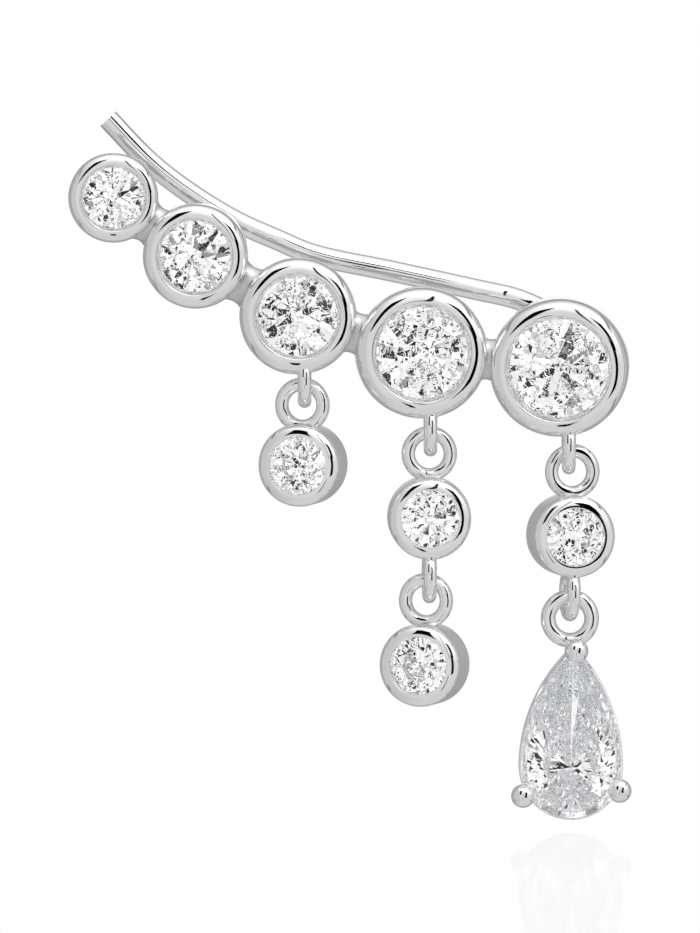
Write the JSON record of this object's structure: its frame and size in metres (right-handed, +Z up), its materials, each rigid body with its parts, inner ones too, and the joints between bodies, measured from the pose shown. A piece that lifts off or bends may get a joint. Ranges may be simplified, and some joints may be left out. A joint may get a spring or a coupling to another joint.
{
  "type": "ear climber earring",
  "caption": "Ear climber earring: a curved row of graduated round bezels on a bent ear wire, with hanging bezel drops and a pear-shaped stone drop.",
  "frame": {"origin": "the ear wire's axis where it passes through the ear's piercing, 2.1 mm behind the middle of the largest bezel's depth, where the earring hangs", "axes": "+Z up as worn, +X from the top of the row towards the lobe, -Y the way the stones face, +Y along the ear wire through the piercing"},
  "size_m": [0.0207, 0.0058, 0.0259],
  "materials": {
    "polished_metal": "polished, rhodium-bright silver",
    "clear_stone": "clear, brilliant cut, polished"
  },
  "bodies": {
    "climber": {"climber_frame": "polished_metal", "climber_stone_1": "clear_stone", "climber_stone_2": "clear_stone", "climber_stone_3": "clear_stone", "climber_stone_4": "clear_stone", "climber_stone_5": "clear_stone", "short_drop_setting": "polished_metal", "short_drop_stone": "clear_stone", "middle_drop_upper_setting": "polished_metal", "middle_drop_upper_stone": "clear_stone", "middle_drop_lower_setting": "polished_metal", "middle_drop_lower_stone": "clear_stone"},
    "main_drop_link": {"main_drop_link_setting": "polished_metal", "main_drop_link_stone": "clear_stone"},
    "pear_drop": {"pear_setting": "polished_metal", "pear_stone": "clear_stone"}
  },
  "joints": [
    {"name": "link_swing", "type": "hinge", "parent": "climber", "child": "main_drop_link", "pos_m": [0.00009, -0.0021, -0.00456], "axis": [1, 0, 0], "range_deg": [-60, 60]},
    {"name": "pear_swing", "type": "hinge", "parent": "main_drop_link", "child": "pear_drop", "pos_m": [0.00014, -0.0021, -0.00998], "axis": [1, 0, 0], "range_deg": [-60, 60]}
  ]
}
